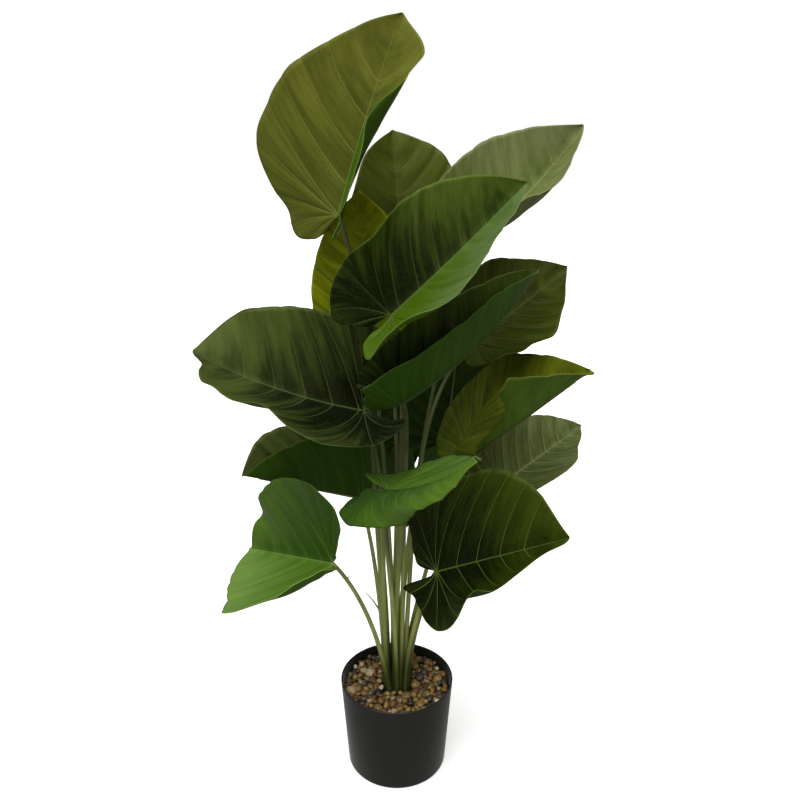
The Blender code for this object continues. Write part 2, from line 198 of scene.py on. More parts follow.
def satin_black_polypropylene():
    """Satin black with a faint orange-peel of 1 mm from the mould, and a grey bloom in patches of 70 mm
    where hands have rubbed it."""
    material, node = add_material("satin_black_polypropylene")
    place = node("TexCoord")
    rubs = node("TexNoise", {"Scale": 14.0, "Detail": 5.0}, {"Vector": (place, "Object")})
    black = node(
        "Mix",
        {"data_type": "RGBA", "A_Color": linear("0d0e0b"), "B_Color": linear("161713")},
        {"Factor_Float": (rubs, "Fac")},
    )
    gloss = node("MapRange", {"To Min": 0.36, "To Max": 0.5}, {"Value": (rubs, "Fac")})
    skin = node("TexNoise", {"Scale": 900.0, "Detail": 2.0}, {"Vector": (place, "Object")})
    bump = node("Bump", {"Strength": 0.25, "Distance": 0.0002}, {"Height": (skin, "Fac")})
    plastic = node(
        "BsdfPrincipled",
        {"IOR": 1.49, "Sheen Weight": 0.45, "Sheen Roughness": 0.35, "Sheen Tint": (0.9, 0.9, 0.82, 1.0)},
        {"Base Color": (black, "Result_Color"), "Roughness": (gloss, "Result"), "Normal": (bump, "Normal")},
    )
    node("OutputMaterial", links={"Surface": (plastic, "BSDF")})
    return material


def arc(centre, radius, start, end):
    """Points of a rounded edge in the XZ plane, from one angle to another in degrees."""
    turns = [math.radians(start + (end - start) * step / ARC_STEPS) for step in range(ARC_STEPS + 1)]
    return [(centre[0] + radius * math.cos(turn), centre[1] + radius * math.sin(turn)) for turn in turns]


def turn_profile(profile, steps):
    """A bmesh of a profile of (radius, height) points turned about Z and closed where it meets the axis."""
    builder = bmesh.new()
    points = [builder.verts.new((radius, 0.0, height)) for radius, height in profile]
    edges = [builder.edges.new(pair) for pair in zip(points, points[1:])]
    bmesh.ops.spin(
        builder,
        geom=points + edges,
        cent=(0, 0, 0),
        axis=(0, 0, 1),
        angle=2 * math.pi,
        steps=steps,
        use_merge=True,
    )
    bmesh.ops.remove_doubles(builder, verts=builder.verts, dist=MERGED_AXIS)
    bmesh.ops.recalc_face_normals(builder, faces=builder.faces)
    return builder


half_wall = POT_WALL / 2
pot_profile = [
    (0.0, 0.0),
    *arc((base_radius - FOOT_ROUND, FOOT_ROUND), FOOT_ROUND, -90, 0),
    *arc((rim_radius - half_wall, pot_height - half_wall), half_wall, 0, 180),
    (base_radius - POT_WALL, POT_FLOOR),
    (0.0, POT_FLOOR),
]
pot = add_piece("pot_shell", turn_profile(pot_profile, POT_TURNS), [satin_black_polypropylene()])
pot.data.set_sharp_from_angle(angle=CRISP_ANGLE)
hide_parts("pot")


# ------------------------------------------------------------------------------
# Soil. The filling that weights the pot and grips the stems: dark, crumbly and matt, and all but hidden
# by the gravel. The CAD solid is shown as it is.

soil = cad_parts["soil"]
_, soil_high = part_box("soil")


def crumbly_soil():
    """Damp peat: crumbs of 1 to 3 mm in clods of about 6 mm, dark brown with paler fibres."""
    material, node = add_material("crumbly_soil")
    place = node("TexCoord")
    crumbs = node("TexVoronoi", {"Scale": 450.0}, {"Vector": (place, "Object")})
    clods = node("TexNoise", {"Scale": 160.0, "Detail": 6.0}, {"Vector": (place, "Object")})
    colour = node(
        "Mix",
        {"data_type": "RGBA", "A_Color": linear("231a13"), "B_Color": linear("4a3a2a")},
        {"Factor_Float": (clods, "Fac")},
    )
    bump = node("Bump", {"Strength": 0.9, "Distance": 0.0012}, {"Height": (crumbs, "Distance")})
    peat = node(
        "BsdfPrincipled",
        {"Roughness": 0.95, "IOR": 1.45},
        {"Base Color": (colour, "Result_Color"), "Normal": (bump, "Normal")},
    )
    node("OutputMaterial", links={"Surface": (peat, "BSDF")})
    return material


soil.data.materials.clear()
soil.data.materials.append(crumbly_soil())


# ------------------------------------------------------------------------------
# Gravel. Washed river pebbles of 5 to 13 mm, cream, tan, ochre, rust and grey, tipped in over the soil
# round the stems. Each pebble rolls down to the lowest place that it finds, as poured stones do.

PEBBLE_SIZES = (0.0027, 0.0068)  # half of the smallest and of the largest pebble's middle width
SMALL_SHARE = 1.35  # the further above 1, the more of the pebbles are small
PEBBLE_SHAPE = ((1.0, 1.35), (0.85, 1.1), (0.62, 0.9))  # limits of length, width and height, over the size
PEBBLE_TIP = 0.45  # how far a pebble leans from flat, in radians
HOLLOW_DEPTH, HOLLOW_GRAIN = 0.16, 1.1  # of the broad hollows worn in a pebble, over its size
PIT_DEPTH, PIT_GRAIN = 0.05, 2.7
SHADE_SPREAD = 0.13  # how much the pebbles of one colour differ in brightness
NOISE_REACH = 50.0  # how far apart in the noise two pebbles' wear is taken
PEBBLE_TOP = 0.1135  # height that no pebble rises above
PEBBLE_TRIES = 900
ROLL_CHOICES = 26
INTERLOCK = 0.86  # how close two pebbles' centres come, over the sum of their half widths
SETTLED = 0.8  # height of a pebble's centre over the soil, over its size
CROWNED = 0.6  # height of its top over its centre, over its size
BUNCH_RADIUS = 0.0185
TUB_WIDENING = 0.0062  # how much wider the tub is at the gravel than at its foot
GRAVEL_SEED = 11
STONE_COLOURS = (  # with how common each is
    ("b09a6c", 8),
    ("94783e", 8),
    ("7e6032", 8),
    ("8c6028", 5),
    ("6e4420", 5),
    ("66583c", 6),
    ("443c2e", 5),
    ("2a241a", 4),
    ("c2b48e", 3),
)


def river_pebble():
    """Tumbled quartzite and sandstone, slightly polished: each stone's own colour, mottled in spots of
    2 to 3 mm."""
    material, node = add_material("river_pebble")
    place = node("TexCoord")
    stone = node("Attribute", {"attribute_name": "stone_colour"})
    mottle = node("TexNoise", {"Scale": 420.0, "Detail": 6.0}, {"Vector": (place, "Object")})
    shade = node(
        "MapRange",
        {"From Min": 0.3, "From Max": 0.7, "To Min": 0.62, "To Max": 1.2},
        {"Value": (mottle, "Fac")},
    )
    colour = node(
        "VectorMath", {"operation": "SCALE"}, {"Vector": (stone, "Color"), "Scale": (shade, "Result")}
    )
    bump = node("Bump", {"Strength": 0.35, "Distance": 0.0004}, {"Height": (mottle, "Fac")})
    quartzite = node(
        "BsdfPrincipled",
        {"Roughness": 0.42, "IOR": 1.54},
        {"Base Color": (colour, "Vector"), "Normal": (bump, "Normal")},
    )
    node("OutputMaterial", links={"Surface": (quartzite, "BSDF")})
    return material


def poured_pebbles(dice):
    """Centres and half widths of pebbles dropped one by one, each in the lowest of a few places."""
    centres, sizes = np.zeros((0, 3)), np.zeros(0)
    smallest, largest = PEBBLE_SIZES
    for _ in range(PEBBLE_TRIES):
        size = smallest + (largest - smallest) * dice.random() ** SMALL_SHARE
        reach = dice.random(ROLL_CHOICES)
        turn = dice.random(ROLL_CHOICES) * 2 * math.pi
        inner = BUNCH_RADIUS + size
        outer = base_radius - POT_WALL + TUB_WIDENING - size
        radius = np.sqrt(inner**2 + (outer**2 - inner**2) * reach)
        places = np.stack([radius * np.cos(turn), radius * np.sin(turn)], axis=1)
        heights = np.full(ROLL_CHOICES, soil_high.z + SETTLED * size)
        if len(sizes):
            apart = np.hypot(*(places[:, None, :] - centres[None, :, :2]).transpose(2, 0, 1))
            touch = INTERLOCK * (sizes + size)
            rests = centres[:, 2] + np.sqrt(np.clip(touch**2 - apart**2, 0.0, None))
            heights = np.maximum(heights, np.where(apart < touch, rests, 0.0).max(axis=1))
        best = int(heights.argmin())
        if heights[best] + CROWNED * size > PEBBLE_TOP:
            continue
        centres = np.vstack([centres, [*places[best], heights[best]]])
        sizes = np.append(sizes, size)
    return centres, sizes


def add_pebbles():
    """One mesh of separate worn stones, with each stone's colour on its points."""
    dice = np.random.default_rng(GRAVEL_SEED)
    centres, sizes = poured_pebbles(dice)
    weights = np.array([weight for _, weight in STONE_COLOURS], float)
    builder = bmesh.new()
    one_stone = bpy.data.meshes.new("one_stone")
    for centre, size in zip(centres, sizes):
        stone = bmesh.new()
        tint = stone.verts.layers.float_color.new("stone_colour")
        bmesh.ops.create_icosphere(stone, subdivisions=2, radius=1.0)
        shape = Vector([dice.uniform(*limits) for limits in PEBBLE_SHAPE]) * size
        turn = Matrix.Rotation(dice.uniform(0, 2 * math.pi), 4, "Z")
        tip = Matrix.Rotation(dice.normal(0, PEBBLE_TIP), 4, Vector((*dice.normal(size=2), 0.1)))
        place = Matrix.Translation(Vector(centre)) @ turn @ tip
        seed = Vector(dice.uniform(-NOISE_REACH, NOISE_REACH, 3))
        shade = float(dice.normal(1.0, SHADE_SPREAD))
        pick = dice.choice(len(STONE_COLOURS), p=weights / weights.sum())
        colour = [share * shade for share in linear(STONE_COLOURS[pick][0])[:3]]
        for vert in stone.verts:
            worn = 1.0 + HOLLOW_DEPTH * noise.noise(vert.co * HOLLOW_GRAIN + seed)
            worn += PIT_DEPTH * noise.noise(vert.co * PIT_GRAIN - seed)
            vert.co = place @ Vector([part * side * worn for part, side in zip(vert.co, shape)])
            vert[tint] = (*colour, 1.0)
        stone.to_mesh(one_stone)
        stone.free()
        builder.from_mesh(one_stone)
    bpy.data.meshes.remove(one_stone)
    return add_piece("pebbles", builder, [river_pebble()])


pebbles = add_pebbles()
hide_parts("gravel")


# ------------------------------------------------------------------------------
# Leaves. Each blade is a heart-shaped sheet of printed, heat-pressed polyester, folded along its rib.
# The press sinks the side veins and leaves the cloth between them puffed up, with painted shade and light
# on the pleats' sides. The colour is darkest by the stem and lightens towards the tip and the edge: partly
# the print, partly painted shade by the stem and painted light shining through the cloth at the edge. The
# veins are pale, some tones are painted sheen and some painted shade, and the underside is even and duller.


class Half(NamedTuple):
    """How one half of a blade is folded, in degrees: up from the flat at the base and at the tip, and
    its curl."""

    base: float
    tip: float
    curl: float


class Leaf(NamedTuple):
    """One blade and its stem. Places in metres, bends in degrees, pulls over the blade's length."""

    name: str
    slot: tuple  # ring and place of the stem in the bunch
    base: tuple  # where the stem meets the blade
    tip: tuple
    facing: tuple  # the way the upper side looks
    left: Half
    right: Half
    width: float = 0.84  # over the length
    arch: float = 0.0  # the rib's bend towards the upper side
    sway: float = 0.0  # the rib's bend to the right
    lobe: float = 1.0  # length of the two lobes behind the stem, over the usual one
    lobes: float = 0.0  # the lobes' bend, up from the flat
    arrive: tuple = ()  # the way the stem points where it meets the blade
    lean: tuple = (0.0, 0.0)  # how far the stem swings out half way up
    tone: str = "dark"
    pulls: tuple = ()  # side, place along the edge, spread, and a pull outwards, ahead and up


LEAVES = (
    Leaf("crown_left", (1, 3), (-0.060, 0.000, 0.688), (0.006, -0.010, 0.878), (-0.30, -1.0, 0.2),
         Half(-15, 0, 12), Half(72, 8, 12), width=1.05, sway=8, lobe=0.6, lobes=-20,
         arrive=(-0.3, -0.3, 1.0), lean=(-0.026, -0.004), tone="olive",
         pulls=((-1, 0.60, 0.09, 0.07, -0.02, 0.0), (-1, 0.42, 0.12, -0.11, 0.0, 0.0),
                (-1, 0.76, 0.05, 0.04, 0.0, 0.0), (1, 0.20, 0.20, 0.0, 0.20, 0.0),
                (1, 0.45, 0.08, 0.06, 0.06, 0.0), (1, 0.61, 0.06, -0.06, 0.0, 0.0),
                (1, 0.72, 0.08, -0.21, 0.03, 0.0), (1, 0.81, 0.06, -0.09, 0.0, 0.0),
                (1, 0.86, 0.03, -0.04, 0.0, 0.0), (1, 0.92, 0.04, 0.0, 0.02, 0.0),
                (-1, 0.89, 0.05, -0.03, 0.0, 0.0), (-1, 0.70, 0.04, 0.025, 0.0, 0.0))),
    Leaf("crown_back", (0, 0), (0.010, 0.080, 0.610), (-0.005, 0.140, 0.773), (0.1, -1.0, 0.4),
         Half(15, 15, 10), Half(5, 5, 15), width=0.85, lobe=0.6, arrive=(0.0, 0.35, 1.0),
         lean=(0.0, 0.01), tone="khaki",
         pulls=((-1, 0.76, 0.10, -0.06, 0.02, 0.0), (1, 0.80, 0.12, 0.02, 0.10, 0.0))),
    Leaf("behind_large", (1, 2), (-0.030, 0.045, 0.550), (-0.040, 0.045, 0.710), (-0.3, -1.0, 0.1),
         Half(5, 5, 10), Half(10, 10, 10), width=0.8, lobe=0.6, arrive=(-0.1, 0.1, 1.0), tone="yellow"),
    Leaf("large_front", (1, 5), (-0.005, -0.105, 0.605), (0.117, -0.115, 0.728), (-0.44, -0.79, 0.42),
         Half(42, 30, 8), Half(38, 42, 5), width=0.9, arch=8, lobe=0.85, lobes=-10,
         arrive=(-0.1, -1.0, 0.0), lean=(0.01, 0.0), tone="green",
         pulls=((-1, 0.60, 0.10, -0.09, 0.0, 0.0), (-1, 0.35, 0.14, -0.05, 0.03, 0.0),
                (-1, 0.15, 0.12, -0.01, 0.06, 0.0), (1, 0.50, 0.12, -0.12, 0.02, 0.0),
                (1, 0.20, 0.16, -0.07, 0.07, 0.0), (1, 0.82, 0.12, -0.03, 0.0, 0.0))),
    Leaf("crown_right", (1, 1), (0.080, 0.040, 0.655), (0.203, 0.070, 0.778), (-0.3, -0.8, 0.6),
         Half(35, 35, 10), Half(45, 38, 20), arch=45, arrive=(0.2, -0.42, 1.0), tone="pale",
         pulls=((-1, 0.75, 0.12, 0.02, 0.0, 0.03), (1, 0.58, 0.15, -0.05, 0.0, 0.10),
                (1, 0.88, 0.08, -0.03, 0.0, 0.0))),
    Leaf("left", (2, 7), (-0.035, -0.030, 0.484), (-0.213, -0.040, 0.552), (0.1, -0.6, 0.8),
         Half(25, 35, 10), Half(35, 35, 10), width=1.0, sway=22, lobe=0.7, lobes=-50,
         arrive=(-0.35, -0.1, 0.9), lean=(-0.012, -0.010), tone="dark",
         pulls=((-1, 0.30, 0.18, -0.22, 0.03, 0.0), (-1, 0.75, 0.10, -0.08, 0.0, 0.0),
                (-1, 0.735, 0.03, -0.03, 0.0, 0.0), (-1, 0.82, 0.035, 0.035, -0.02, 0.0),
                (-1, 0.90, 0.03, 0.03, 0.0, 0.0), (-1, 0.955, 0.02, 0.0, -0.04, 0.0),
                (1, 0.90, 0.08, 0.09, 0.03, 0.0), (1, 0.78, 0.06, 0.03, 0.0, 0.0))),
    Leaf("left_lower", (2, 6), (-0.045, 0.060, 0.339), (-0.176, 0.000, 0.394), (0.05, 0.3, 0.95),
         Half(68, 68, 5), Half(55, 55, 5), width=1.05, lobe=0.4, arrive=(-0.3, 0.5, 0.8),
         lean=(-0.004, 0.014), tone="dark",
         pulls=((1, 0.80, 0.14, 0.0, 0.14, 0.01), (1, 0.70, 0.08, 0.0, 0.0, 0.07))),
    Leaf("low_left", (2, 8), (-0.070, -0.080, 0.326), (-0.181, 0.030, 0.284), (-0.75, -0.45, 0.5),
         Half(45, 45, 5), Half(35, 30, 10), width=1.2, lobe=0.6, arrive=(-0.5, -0.3, 0.8),
         lean=(-0.014, -0.02), tone="bright",
         pulls=((-1, 0.32, 0.20, -0.17, 0.0, 0.02), (-1, 0.64, 0.07, 0.06, 0.0, 0.08),
                (1, 0.12, 0.12, 0.0, 0.0, 0.06), (1, 0.88, 0.03, 0.0, 0.0, -0.07))),
    Leaf("low_front", (2, 9), (-0.010, -0.100, 0.423), (0.068, -0.220, 0.505), (0.0, -0.1, 1.0),
         Half(8, 2, 10), Half(-10, -10, -30), width=0.85, arch=20, lobe=0.65, tone="bright",
         pulls=((-1, 0.08, 0.10, -0.05, -0.10, 0.08), (-1, 0.86, 0.10, -0.07, 0.0, 0.0),
                (1, 0.66, 0.16, -0.19, 0.03, -0.03), (1, 0.87, 0.08, -0.07, 0.03, -0.06),
                (1, 0.42, 0.07, -0.04, 0.0, -0.05))),
    Leaf("low_right", (2, 11), (0.045, -0.050, 0.298), (0.180, -0.105, 0.370), (-0.1, -1.0, 0.5),
         Half(5, 5, 15), Half(30, 90, 15), width=1.05, lobe=0.6, tone="forest",
         pulls=((-1, 0.76, 0.14, 0.10, 0.12, 0.0), (-1, 0.25, 0.15, 0.0, 0.09, 0.0),
                (-1, 0.89, 0.06, 0.03, 0.02, 0.0), (1, 0.92, 0.06, -0.015, 0.0, 0.0),
                (1, 0.50, 0.06, -0.02, 0.0, 0.0), (1, 0.66, 0.07, -0.14, 0.05, 0.0),
                (1, 0.35, 0.16, -0.08, 0.06, 0.0), (1, 0.08, 0.07, -0.03, -0.12, 0.0))),
    Leaf("right_back", (2, 1), (0.127, 0.050, 0.360), (0.240, 0.130, 0.408), (-0.3, -0.8, 0.5),
         Half(15, 10, 15), Half(45, 35, 15), width=0.85, tone="sage",
         pulls=((1, 0.86, 0.08, -0.04, -0.06, 0.0),)),
    Leaf("right", (2, 0), (0.082, 0.000, 0.416), (0.205, -0.040, 0.532), (-0.70, 0.1, 0.70),
         Half(35, 35, 10), Half(65, 60, 10), width=1.0, lobe=0.7, tone="moss",
         pulls=((-1, 0.74, 0.10, 0.0, 0.0, 0.08), (1, 0.30, 0.28, 0.0, 0.27, -0.36),
                (1, 0.58, 0.10, 0.0, 0.18, -0.10), (1, 0.50, 0.07, 0.0, 0.09, -0.05),
                (1, 0.70, 0.05, 0.0, 0.08, -0.03), (1, 0.86, 0.10, 0.0, 0.06, -0.09))),
    Leaf("right_upper", (1, 0), (0.089, 0.030, 0.545), (0.196, 0.070, 0.624), (-0.2, -1.0, 0.4),
         Half(5, 5, 15), Half(30, 10, 50), width=0.8, lobe=0.8, arrive=(0.6, 0.0, 0.5),
         lean=(0.015, 0.0), tone="deep",
         pulls=((-1, 0.70, 0.12, 0.08, 0.05, 0.0), (1, 0.40, 0.25, 0.0, 0.17, 0.0),
                (1, 0.68, 0.12, 0.09, 0.0, 0.0), (1, 0.78, 0.07, -0.04, 0.0, 0.0),
                (1, 0.50, 0.06, 0.05, 0.0, 0.0), (1, 0.90, 0.06, -0.05, 0.0, 0.0))),
    Leaf("right_front", (1, 4), (0.006, -0.085, 0.512), (0.140, -0.060, 0.642), (-0.56, -0.50, 0.71),
         Half(58, 52, 5), Half(84, 78, 5), width=0.62, sway=-40, lobe=0.7,
         arrive=(-0.17, -1.0, 0.6), lean=(0.001, 0.0), tone="dark",
         pulls=((-1, 0.15, 0.18, 0.0, 0.09, 0.05), (1, 0.20, 0.15, 0.0, 0.09, 0.07),
                (1, 0.72, 0.16, 0.0, 0.0, -0.03), (1, 0.33, 0.08, 0.0, 0.06, 0.0))),
    # The back leaves stand in the plant's deep shade, filling the dark gaps behind the stems; their dark
    # and shade tones are painted shade.
    Leaf("back_left", (2, 5), (-0.028, 0.128, 0.364), (-0.019, 0.162, 0.486), (0.0, 1.0, 0.12),
         Half(10, 10, 10), Half(10, 10, 10), width=0.95, lobe=0.6, arrive=(-0.05, 1.0, 0.5),
         tone="shade"),
    Leaf("back_low", (2, 3), (0.0235, 0.085, 0.366), (0.0125, 0.150, 0.252), (0.0, 1.0, 0.5),
         Half(15, 15, -10), Half(15, 15, -10), width=0.68, arrive=(0.0, 0.6, 1.0),
         lean=(0.0, 0.02), tone="dark"),
    Leaf("back_right", (2, 2), (0.064, 0.120, 0.393), (0.081, 0.150, 0.538), (0.0, 1.0, 0.12),
         Half(10, 10, 10), Half(10, 10, 10), width=0.9, lobe=0.6, arrive=(-0.4, 1.0, 0.8),
         lean=(0.010, 0.008), tone="shade"),
    Leaf("back_high", (2, 4), (-0.018, 0.120, 0.540), (-0.062, 0.250, 0.610), (0.0, -0.3, 1.0),
         Half(30, 30, 20), Half(30, 30, 20), lobe=0.5, arrive=(-0.3, 0.8, 0.6), lean=(0.005, 0.01),
         tone="dark"),
)

BLADE_THICKNESS = 0.0005
CREASE = 0.005  # how wide the rounded fold along the rib is
VEIN_ANGLE = math.radians(52)  # between a side vein and the rib
VEIN_BOW = 0.22
VEINS = (0.14, 0.32, 0.48, 0.60, 0.675, 0.735, 0.79, 0.845, 0.90)  # places along the edge they run to
VEIN_STEP = 0.02  # a short piece of a vein, over its length, that gives its direction
VEIN_HALF_WIDTH, VEIN_TAPER = 0.0007, 0.6  # of the pale line: at the rib, and the share lost by the edge
RIB_HALF_WIDTH, RIB_TAPER = 0.0014, 0.75  # of the rib's pale line: at the stem, and lost by the tip
WAVES, WAVE_HEIGHT = 2.5, 0.012  # along the edge of each half, and their height over the length
RUFFLES, RUFFLE_HEIGHT = 7.3, 0.004
RUFFLE_SIDE, RUFFLE_LEAF = 2.4, 40.0  # shifts that keep halves and leaves from ruffling alike
BEND_STEPS = 16
LEAST_BEND = 1e-6  # so that a straight rib is worked out as a bent one is
ROWS_BETWEEN_VEINS = 10
COLUMNS = 22
COLUMN_CROWDING = 1.25  # the further above 1, the closer the columns crowd to the rib
MERGED_RIB = 0.00005
PUFF = 0.0015  # how far the cloth rises between two veins
PUFF_START = 0.009  # how far from the rib it has risen in full
PUFF_ROOM = 0.016  # how far apart two veins are where it rises in full
PUFF_FULLNESS = 0.8  # below 1, it stands fuller than a plain arch

# The edge of one half of a flat blade of length 1 and half width 1, from the notch round to the tip.
BLADE_EDGE = (
    (-0.15, 0.07),
    (-0.27, 0.21),
    (-0.32, 0.43),
    (-0.26, 0.69),
    (-0.08, 0.89),
    (0.15, 0.99),
    (0.39, 0.98),
    (0.62, 0.82),
    (0.84, 0.48),
    (1.00, 0.00),
)
LOBE_END = -0.32


def along_edge(along):
    """The point of BLADE_EDGE at 0 to 1, on a smooth (Catmull-Rom) curve through its points."""
    place = along * (len(BLADE_EDGE) - 1)
    step = min(int(place), len(BLADE_EDGE) - 2)
    part = place - step
    before = BLADE_EDGE[max(step - 1, 0)]
    after = BLADE_EDGE[min(step + 2, len(BLADE_EDGE) - 1)]
    point = []
    for a, b, c, d in zip(before, BLADE_EDGE[step], BLADE_EDGE[step + 1], after):
        square = 2 * a - 5 * b + 4 * c - d
        cube = 3 * b - a - 3 * c + d
        point.append(0.5 * (2 * b + (c - a) * part + square * part**2 + cube * part**3))
    return point


class BladeRib:
    """The place, size and bend of one blade's rib."""

    def __init__(self, leaf):
        self.leaf = leaf
        self.base = Vector(leaf.base)
        chord = Vector(leaf.tip) - self.base
        self.bend = math.radians(math.hypot(leaf.arch, leaf.sway)) + LEAST_BEND
        self.length = chord.length * (self.bend / 2) / math.sin(self.bend / 2)
        ahead = chord.normalized()
        facing = Vector(leaf.facing)
        up = (facing - ahead * facing.dot(ahead)).normalized()
        right = ahead.cross(up)
        turn = math.atan2(leaf.sway, leaf.arch)
        self.towards = up * math.cos(turn) + right * math.sin(turn)
        self.axis = ahead.cross(self.towards)
        back = Matrix.Rotation(-self.bend / 2, 3, self.axis)
        self.ahead, self.up, self.right = back @ ahead, back @ up, back @ right
        self.towards = back @ self.towards

    def at(self, along):
        """The rib's point at a share of the length, and the upward and right directions there."""
        if along < 0:
            angle = math.radians(self.leaf.lobes) * along / LOBE_END
            back = self.up * math.sin(angle / 2) - self.ahead * math.cos(angle / 2)
            up = self.up * math.cos(angle) + self.ahead * math.sin(angle)
            return self.base - back * along * self.length, up, self.right
        angle = self.bend * along
        radius = self.length / self.bend
        bent = math.sin(angle) * self.ahead + (1 - math.cos(angle)) * self.towards
        turn = Matrix.Rotation(angle, 3, self.axis)
        return self.base + radius * bent, turn @ self.up, turn @ self.right


def flat_place(leaf, across, along):
    """How far ahead and out a point of either half lies while the blade is flat, over the length."""
    edge_ahead, edge_out = along_edge(along)
    widest = leaf.width / 2
    if edge_ahead < 0:
        edge_ahead *= leaf.lobe
    root = max(0.0, edge_ahead - edge_out * widest / math.tan(VEIN_ANGLE))
    bow = VEIN_BOW * across * (1 - across)
    ahead = root + (edge_ahead - root) * (across - bow)
    return Vector((ahead, edge_out * widest * (across + bow)))


def blade_point(rib, side, across, along, puff):
    """A point of the blade's middle surface: side -1 is the left half, across runs from rib to edge."""
    leaf = rib.leaf
    half = leaf.left if side < 0 else leaf.right
    widest = leaf.width / 2
    ahead, out = flat_place(leaf, across, along)
    lean = min(max(ahead, 0.0), 1.0)
    fold = math.radians(half.base + (half.tip - half.base) * lean)
    curl = math.radians(half.curl)
    sideways = upward = 0.0
    for step in range(BEND_STEPS):
        here = out * (step + 0.5) / BEND_STEPS
        angle = fold * (1 - math.exp(-here * rib.length / CREASE)) + curl * (here / widest) ** 2
        sideways += math.cos(angle) * out / BEND_STEPS
        upward += math.sin(angle) * out / BEND_STEPS
    shift = RUFFLE_SIDE * side + RUFFLE_LEAF * leaf.tip[0]
    upward += WAVE_HEIGHT * math.sin(2 * math.pi * WAVES * along + side) * across**2
    upward += RUFFLE_HEIGHT * math.sin(2 * math.pi * RUFFLES * along + shift) * across**5
    point, up, right = rib.at(ahead)
    point = point + rib.length * (up * upward + right * (side * sideways)) + up * puff
    for to, at, spread, outwards, onwards, lift in leaf.pulls:
        if to == side:
            share = rib.length * across**2 * math.exp(-(((along - at) / spread) ** 2))
            point += share * (right * (side * outwards) + up.cross(right) * onwards + up * lift)
    return point


def row_places():
    """The rows of a blade's mesh, with one on each vein: the place along the edge, the share of the way
    from the vein before it to the next one, and those two veins' places."""
    stops = (0.0, *VEINS, 1.0)
    rows = []
    for low, high in zip(stops, stops[1:]):
        for step in range(ROWS_BETWEEN_VEINS):
            part = step / ROWS_BETWEEN_VEINS
            rows.append((low + (high - low) * part, part, low, high))
    rows.append((1.0, 0.0, 1.0, 1.0))
    return rows


def vein_gap(leaf, here, across, veins):
    """How far a flat point is from the nearest of the veins beside it, over the length."""
    gaps = []
    for vein in veins:
        on = flat_place(leaf, across, vein)
        run = flat_place(leaf, min(across + VEIN_STEP, 1.0), vein)
        run -= flat_place(leaf, max(across - VEIN_STEP, 0.0), vein)
        gaps.append(abs((here - on).cross(run.normalized())))
    return min(gaps, default=1.0)


def puff_height(rib, here, across, part, low, high):
    """How far the cloth stands up from the veins beside it, in metres. It starts flat at the rib."""
    room = flat_place(rib.leaf, across, high) - flat_place(rib.leaf, across, low)
    off_rib = min(1.0, here.y * rib.length / PUFF_START) ** 2
    spaced = min(1.0, room.length * rib.length / PUFF_ROOM)
    return PUFF * off_rib * spaced * math.sin(math.pi * part) ** PUFF_FULLNESS


class Tone(NamedTuple):
    """A print's colours: inner by the stem, partly painted shade there, outer at the tip and the edge,
    partly painted light through the cloth there, the veins on it, and the underside with its veins."""

    inner: str
    outer: str
    veins: str
    underside: str
    underside_veins: str
    pleats: float = 1.0  # how strongly the painted shade and light of the pleats beside the veins show
    lines: float = 0.5  # how strongly the veins show


TONES = {
    "olive": Tone("4e5518", "5e6220", "888c40", "5a6428", "747c42", 0.9, 0.6),
    "khaki": Tone("363f0c", "434c10", "6a7232", "36500f", "5c7030"),
    # yellow: the print lit up with painted light shining through the cloth from behind.
    "yellow": Tone("586806", "7e8604", "8a8c2a", "5c6c10", "7c8232"),
    # pale and sage: greyish prints that are painted sheen of the ceiling light on leaves facing it.
    "pale": Tone("5a662a", "747c4e", "929a68", "66703c", "848c58", 0.6, 0.6),
    "sage": Tone("505a2c", "5c6638", "929a68", "545e30", "788050", 1.2, 0.6),
    # silver: an even pale print standing for painted sheen and light on the half that faces up.
    "silver_painted_sheen": Tone("405a06", "5a7040", "6c8048", "466208", "647a44", 0.4, 0.3),
    "moss": Tone("404c0c", "59620e", "848c44", "4a681a", "6c7c36"),
    # deep: a darker copy of khaki, darkened with painted shade.
    "deep": Tone("2c3608", "3a440c", "626a2e", "2c440e", "4c6028"),
    # green, dark, leafy and forest: their near-black inner colours are painted shade by the stem, over a
    # dark print.
    "green": Tone("0a1404", "455719", "58682c", "46641a", "64803a", 0.8, 0.5),
    "meadow": Tone("3c5a10", "4c6a1c", "5c7c2e", "3c5a10", "5c7c2e", 0.5, 0.3),
    "dark": Tone("040a02", "424c20", "546838", "304e10", "4c6c2c", 0.8, 0.6),
    "leafy": Tone("030801", "3c4819", "526532", "304e10", "4c6c2c", 0.8, 0.6),
    "forest": Tone("080f03", "38460a", "627e30", "22400e", "4c6c2c", 0.6, 0.9),
    # shade: painted shade all over, for leaves and halves deep inside the plant, its underside too.
    "shade": Tone("081002", "2c3c06", "2c4416", "1c3208", "2c441c"),
    "bright": Tone("2c4a0a", "4a681c", "6c8a40", "446618", "668840", 0.4, 0.5),
    # sunny: a lighter copy of bright, with the same underside, lightened with painted light.
    "sunny_painted_light": Tone("486a18", "668638", "809c54", "446618", "668840", 0.4, 0.5),
}
# Halves, left -1 and right 1, whose tone is not their leaf's, and how far along the edge it goes. The
# silver half is painted sheen, the sunny halves painted light, and the shade half and the leafy half's
# near-black inner colour painted shade.
HALF_TONES = {
    ("large_front", 1): ("silver_painted_sheen", 1.0),
    ("crown_left", 1): ("meadow", 0.83),
    ("right_front", -1): ("shade", 1.0),
    ("left", 1): ("leafy", 1.0),
    ("low_front", -1): ("sunny_painted_light", 1.0),
    ("low_left", -1): ("sunny_painted_light", 1.0),
}
PRINT_ROUGHNESS = 0.42
UNDERSIDE_ROUGHNESS = 0.55
CUT_ROUGHNESS = 0.6
PLEAT_PAINTED_SWING = 0.26  # how much darker and lighter the pleats are painted, as painted shade and light on their sides
PLEAT_WEIGHT, BLOTCH_WEIGHT = 1.5, 0.5  # how far they move the change from the inner to the outer colour
EDGE_WEIGHT, TIP_WEIGHT = 0.5, 0.8  # how far the way to the edge and to the tip moves it


